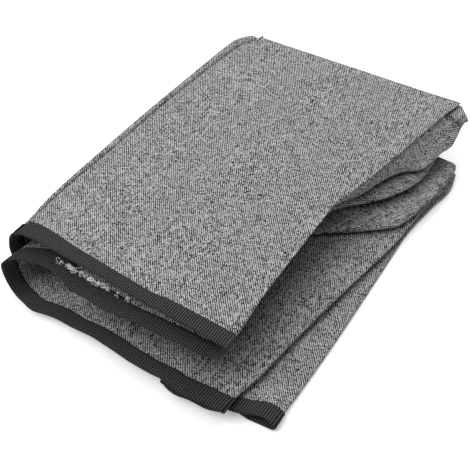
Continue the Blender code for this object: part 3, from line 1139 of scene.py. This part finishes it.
@dataclass
class HemBinding:
    """Tape folded in half over the hem, all the way round the sleeve.

    offset is its distance from the middle of the cloth, legs the shares of its width at
    which each half is laid, and swell the (height, rate) of the hollows along them. turn is
    the (level, depth) of its own fold. stray is the (reach, size, seed) of its edges' waver,
    of which hem_stray is left within hem_part of its width. The hem is measured
    measured_at inside its edge.
    """

    layout: Layout
    sleeve: Sleeve
    finish: RibbedTape
    offset: float = 0.95
    thickness: float = 0.7
    row_gap: float = 2.6
    measured_at: float = 8.0
    legs: tuple[float, ...] = (1.0, 0.82, 0.65, 0.47, 0.3, 0.14)
    swell: tuple[float, float] = (0.16, 15.0)
    turn: tuple[float, float] = (0.1, 0.08)
    turn_steps: int = 6
    stray: tuple[float, float, float] = (0.35, 22.0, 11.0)
    hem_part: float = 0.6
    hem_stray: float = 0.8
    flat: tuple[float, float] = (1.28, 0.036)

    def build(self) -> bpy.types.Object:
        """Returns:
            The tape, standing for the binding's solid.
        """
        places = self.sleeve.places()
        rows, runs = [], []
        travelled = self._travelled(places)
        for run, (distance, inward) in enumerate(self._course()):
            middle = [self.sleeve.point(place, place.hem + inward * place.tape
                                        + self._waver(travelled[i], inward))
                      for i, place in enumerate(places)]
            rows.append([self.layout.place(point) for point in self._offset(middle, distance)])
            down = run * self.row_gap * MM
            runs.append([((travelled[i] * MM, down), (travelled[i + 1] * MM, down))
                         for i in range(len(places))])
        mesh = sheet_mesh("hem_tape", rows, runs, closed=True)
        piece = cloth_piece(mesh, self.finish.material(), self.thickness)
        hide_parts("hem_binding")
        return piece

    def _travelled(self, places: Sequence[Place]) -> list[float]:
        """Measure the hem.

        Args:
            places: The places round the section.

        Returns:
            The millimetres of hem up to each place, and the whole of it.
        """
        points = [self.sleeve.point(place, place.hem + self.measured_at) for place in places]
        gone = [0.0]
        for i, point in enumerate(points):
            gone.append(gone[-1] + (points[(i + 1) % len(points)] - point).length)
        return gone

    def _waver(self, travelled: float, inward: float) -> float:
        """Work out how far the tape strays along the cover.

        Args:
            travelled: Place along the hem.
            inward: Share of the tape's width from the hem.

        Returns:
            The distance.
        """
        reach, size, seed = self.stray
        share = 1.0 if inward > self.hem_part else self.hem_stray
        return reach * ripple(travelled, 0.0, size, seed) * share

    def _course(self) -> list[tuple[float, float]]:
        """Follow the tape from one edge over the hem to the other.

        Returns:
            Pairs of distance from the cloth and share of the tape's width from the hem.
        """
        height, rate = self.swell
        level, depth = self.turn
        course = [(self.offset + height * math.sin(inward * rate), inward)
                  for inward in self.legs]
        for step in range(1, self.turn_steps):
            angle = math.pi * step / self.turn_steps
            course.append((self.offset * math.cos(angle), level - depth * math.sin(angle)))
        return course + [(-self.offset, inward) for inward in reversed(self.legs)]

    @staticmethod
    def _offset(points: Sequence[Vector], distance: float) -> list[Vector]:
        """Move a closed line of points sideways in its own section.

        Args:
            points: The line.
            distance: How far, to its outer side where it is positive.

        Returns:
            The moved points.
        """
        moved = []
        for i, point in enumerate(points):
            step = points[(i + 1) % len(points)] - points[i - 1]
            length = math.hypot(step.x, step.z)
            moved.append(point + Vector((-step.z, 0.0, step.x)) * (distance / length))
        return moved


PANEL_FOLDS: tuple[RoundFold, ...] = (
    RoundFold(Side.LEFT, (Turn(235, 6, 60, 60, 0, 0), Turn(390, 8, 60, 60, 0, 0))),
    RoundFold(Side.RIGHT, (
        Turn(235, 222, 58.8, 55.0, 3, 3), Turn(276, 232, 58.8, 55.0, 3, 3),
        Turn(320, 243, 58.6, 54.8, 3, 3), Turn(352, 250, 58.0, 54.4, 3, 3),
        Turn(360, 257, 58.4, 54.0, 5, 3, 0.2), Turn(374, 281.5, 59.6, 53.2, 10, 4, 0.15),
        Turn(381, 274.0, 60.4, 54.2, 5, 3, 0.3), Turn(390, 267.6, 61.0, 55.0, 4, 3, 0.4))),
    RoundFold(Side.LEFT, (Turn(235, 2, 55.6, 51.0, 4, 4), Turn(390, 4, 55.6, 51.0, 4, 4))),
    RoundFold(Side.RIGHT, (
        Turn(235, 208, 51.0, 51.0, 0, 0), Turn(320, 228, 50.8, 50.8, 0, 0),
        Turn(390, 242, 50.0, 50.0, 0, 0))),
)


@dataclass
class TopPanel:
    """The square of cloth that closes the cover, laid in three inside the closed end.

    It is laid down at stations places from near to far, with steps across each layer.
    """

    layout: Layout
    folds: Sequence[RoundFold]
    finish: HeatheredCloth
    near: float = 235.0
    far: float = 386.6
    thickness: float = 0.8
    steps: int = 30
    stations: int = 34
    flat: tuple[float, float] = (0.72, 0.15)

    def build(self) -> bpy.types.Object:
        """Returns:
            The cloth, standing for the top panel's solid.
        """
        rows, runs = [], []
        for station in range(self.stations + 1):
            along = blend(self.near, self.far, station / self.stations)
            points = self._section(along)
            rows.append([self.layout.place(point) for point in points])
            gone = [0.0]
            for start, end in zip(points, points[1:]):
                gone.append(gone[-1] + (end - start).length)
            runs.append([((left * MM, along * MM), (right * MM, along * MM))
                         for left, right in zip(gone, gone[1:])])
        mesh = sheet_mesh("top_panel_cloth", rows, runs, closed=False)
        piece = cloth_piece(mesh, self.finish.material(), self.thickness)
        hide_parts("top_panel")
        return piece

    def _section(self, along: float) -> list[Vector]:
        """Draw the panel's section.

        Args:
            along: Place along the cover.

        Returns:
            The section's points, from the panel's upper edge to its lower one.
        """
        points = []
        for i, fold in enumerate(self.folds[:-1]):
            if i:
                for step in range(fold.steps):
                    x, z = fold.point(along, step / fold.steps)
                    points.append(Vector((x, along, z)))
            start, end = fold.point(along, 1.0), self.folds[i + 1].point(along, 0.0)
            for step in range(self.steps):
                share = step / self.steps
                points.append(Vector((blend(start[0], end[0], share), along,
                                      blend(start[1], end[1], share))))
        points.append(Vector((end[0], along, end[1])))
        return points


@dataclass
class SideSeam:
    """Two rows of stitches down the seam that joins the side wall into a ring.

    pitch is the way from one stitch to the next, section a stitch's thickness and width,
    and surface its middle's height above the cloth's.
    """

    layout: Layout
    sleeve: Sleeve
    seam: Course
    finish: Thread
    start: float = -22.0
    end: float = 330.0
    spacing: float = 5.4
    pitch: float = 3.6
    length: float = 2.5
    section: tuple[float, float] = (0.7, 1.2)
    surface: float = 0.5

    def build(self) -> bpy.types.Object:
        """Make both rows as one piece.

        Returns:
            The stitches.
        """
        bm = bmesh.new()
        for row in (-0.5, 0.5):
            along = self.start
            while along < self.end:
                self._stitch(bm, along, row * self.spacing)
                along += self.pitch
        for face in bm.faces:
            face.smooth = True
        piece = finished_object(mesh_from(bm, "side_seam_stitches"), self.finish.material())
        return piece

    def _on_cloth(self, along: float, offset: float) -> Vector:
        """Find a place on top of the third layer.

        Args:
            along: Place along the cover.
            offset: Distance across from the seam's middle.

        Returns:
            The point in the layout.
        """
        x = self.seam.at(along)[0] + offset
        fold, following = self.sleeve.folds["inner_loop"], self.sleeve.folds["middle_edge"]
        start, end = fold.point(along, 1.0)[0], following.point(along, 0.0)[0]
        place = Place("inner_loop", "inner_loop", "middle_edge", (x - start) / (end - start),
                      False)
        return self.sleeve.point(place, along) + Vector((0.0, 0.0, self.surface))

    def _stitch(self, bm: bmesh.types.BMesh, along: float, offset: float) -> None:
        """Add one stitch, lying along the seam.

        Args:
            bm: The bmesh that it joins.
            along: Where it starts along the cover.
            offset: Distance across from the seam's middle.
        """
        start = self._on_cloth(along, offset)
        end = self._on_cloth(along + self.length, offset)
        made = bmesh.ops.create_uvsphere(bm, u_segments=6, v_segments=5, radius=0.5)
        turn = (end - start).to_track_quat("Z", "Y").to_matrix().to_4x4()
        size = Matrix.Diagonal(Vector((*self.section, self.length, 1.0)))
        bmesh.ops.transform(bm, matrix=Matrix.Translation((start + end) / 2) @ turn @ size,
                            verts=made["verts"])
        bmesh.ops.transform(bm, matrix=Matrix.Translation(self.layout.shift)
                            @ Matrix.Scale(MM, 4), verts=made["verts"])


@dataclass
class FrayedThreads:
    """Short pale fibres that stick out from under the top layer's hem.

    clusters lists (X, spread, number). hem is the Y that they start from, give or take
    hem_spread, and heights the lowest and highest Z. bends and turns limit a fibre's radius
    and angle, and tip how far it leans.
    """

    layout: Layout
    finish: Thread
    clusters: tuple[tuple[float, float, int], ...] = (
        (54, 3, 8), (62, 3, 10), (68, 4, 26), (77, 3, 12), (86, 4, 30), (94, 4, 24),
        (101, 3, 16), (106, 2, 14), (118, 1.5, 6), (128, 1.2, 7))
    seed: int = 5
    hem: float = -18.6
    hem_spread: tuple[float, float] = (-1.6, 1.2)
    heights: tuple[float, float] = (58.6, 62.0)
    bends: tuple[float, float] = (0.7, 2.2)
    turns: tuple[float, float] = (1.2, 3.6)
    tip: float = 1.2
    thickness: float = 0.14

    def build(self) -> bpy.types.Object:
        """Make all the fibres as one piece.

        Returns:
            The fibres.
        """
        rng = random.Random(self.seed)
        bm = bmesh.new()
        for middle, spread, count in self.clusters:
            for _ in range(count):
                root = Vector((rng.gauss(middle, spread),
                               self.hem + rng.uniform(*self.hem_spread),
                               rng.uniform(*self.heights)))
                self._fibre(bm, rng, root)
        piece = finished_object(mesh_from(bm, "frayed_threads"), self.finish.material())
        return piece

    def _fibre(self, bm: bmesh.types.BMesh, rng: random.Random, root: Vector) -> None:
        """Add one curled fibre, a thin ring of thread spun through part of a turn.

        Args:
            bm: The bmesh that it joins.
            rng: The source of its random sizes.
            root: Its middle in the layout.
        """
        bend = rng.uniform(*self.bends)
        made = bmesh.ops.create_circle(bm, cap_ends=True, radius=self.thickness * MM, segments=5)
        bmesh.ops.rotate(bm, cent=(0, 0, 0), verts=made["verts"],
                         matrix=Matrix.Rotation(math.pi / 2, 3, "X"))
        bmesh.ops.translate(bm, verts=made["verts"], vec=(bend * MM, 0, 0))
        faces = list({face for vert in made["verts"] for face in vert.link_faces})
        bmesh.ops.spin(bm, geom=faces + made["verts"], cent=(0, 0, 0), axis=(0, 0, 1),
                       steps=5, angle=rng.uniform(*self.turns), use_merge=False)
        turn = (Matrix.Rotation(rng.uniform(0, math.tau), 4, "Z")
                @ Matrix.Rotation(rng.uniform(-self.tip, self.tip), 4, "X"))
        bmesh.ops.transform(bm, verts=joined_to(made["verts"]),
                            matrix=Matrix.Translation(self.layout.place(root)) @ turn)


@dataclass(frozen=True)
class Studio:
    """Plain pale floor, soft light and the camera.

    softboxes lists each lamp's (name, place, size, power). The camera looks at aim from
    distance away, azimuth degrees round from the front and elevation degrees up.
    """

    aim: tuple[float, float, float] = (0.0107, -0.0554, 0.03)
    azimuth: float = 33.02
    elevation: float = 47.3
    distance: float = 0.6559
    lens: float = 52.085
    floor_size: float = 6.0
    floor_tone: float = 0.92
    floor_glow: float = 0.3
    sky: float = 0.08
    softboxes: tuple[tuple[str, tuple[float, float, float], float, float], ...] = (
        ("top", (0.0, 0.0, 1.6), 1.8, 12.5), ("front", (-0.7, -0.85, 1.2), 1.2, 16.5),
        ("back", (-0.3, 1.1, 1.2), 1.2, 16.5))

    def build(self) -> None:
        """Make the floor, the lights and the camera."""
        self._floor()
        self._lights()
        self._camera()

    def _floor(self) -> None:
        """Lay a wide pale floor."""
        bm = bmesh.new()
        bmesh.ops.create_grid(bm, x_segments=2, y_segments=2, size=self.floor_size)
        mesh = mesh_from(bm, "floor")
        kit = Finish("pale_floor", 0.95)
        tone = self.floor_tone
        kit.shader.inputs["Base Color"].default_value = (tone, tone, tone, 1.0)
        kit.shader.inputs["Emission Color"].default_value = (1.0, 1.0, 1.0, 1.0)
        kit.shader.inputs["Emission Strength"].default_value = self.floor_glow
        mesh.materials.append(kit.material)
        floor = bpy.data.objects.new("floor", mesh)
        bpy.context.scene.collection.objects.link(floor)

    def _lights(self) -> None:
        """Light the scene with soft boxes from above, from the front and from behind."""
        world = bpy.data.worlds.new("studio")
        bpy.context.scene.world = world
        world.use_nodes = True
        background = world.node_tree.nodes["Background"]
        background.inputs["Color"].default_value = (1.0, 1.0, 1.0, 1.0)
        background.inputs["Strength"].default_value = self.sky
        for name, place, size, power in self.softboxes:
            light = bpy.data.lights.new(name, "AREA")
            light.shape = "SQUARE"
            light.size = size
            light.energy = power
            lamp = bpy.data.objects.new(name, light)
            lamp.location = place
            lamp.rotation_euler = (Vector(self.aim) - Vector(place)).to_track_quat(
                "-Z", "Y").to_euler()
            bpy.context.scene.collection.objects.link(lamp)
        bpy.context.scene.view_settings.view_transform = "Standard"

    def _camera(self) -> None:
        """Add the camera and make it the scene's."""
        azimuth, elevation = math.radians(self.azimuth), math.radians(self.elevation)
        forward = Vector((-math.sin(azimuth) * math.cos(elevation),
                          math.cos(azimuth) * math.cos(elevation), -math.sin(elevation)))
        data = bpy.data.cameras.new("camera")
        data.sensor_width = 36.0
        data.lens = self.lens
        data.clip_start = 0.01
        camera = bpy.data.objects.new("camera", data)
        camera.location = Vector(self.aim) - forward * self.distance
        camera.rotation_euler = forward.to_track_quat("-Z", "Y").to_euler()
        bpy.context.scene.collection.objects.link(camera)
        bpy.context.scene.camera = camera


def report(pieces: Iterable[bpy.types.Object]) -> None:
    """Log each piece and its number of faces."""
    for piece in pieces:
        log.info("%s: %d faces", piece.name, len(piece.data.polygons))


def main() -> None:
    """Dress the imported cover."""
    logging.basicConfig(level=logging.INFO, format="%(name)s %(message)s")
    layout = Layout.from_frame()
    log.info("layout shift %s", tuple(round(value, 6) for value in layout.shift))
    relief = Relief(TROUGHS, RIPPLES, SIDE_SEAM)
    sleeve = Sleeve(SLEEVE_FOLDS, SLEEVE_LAYERS, relief.at)
    report([
        SideWall(layout, sleeve, HeatheredCloth()).build(),
        TopPanel(layout, PANEL_FOLDS, HeatheredCloth("heathered_panel")).build(),
        HemBinding(layout, sleeve, RibbedTape()).build(),
        SideSeam(layout, sleeve, SIDE_SEAM, Thread("seam_thread", 0.03, 0.07)).build(),
        FrayedThreads(layout, Thread("pale_fibre", 0.7, 0.85)).build(),
    ])
    Studio().build()


if __name__ == "__main__":
    main()
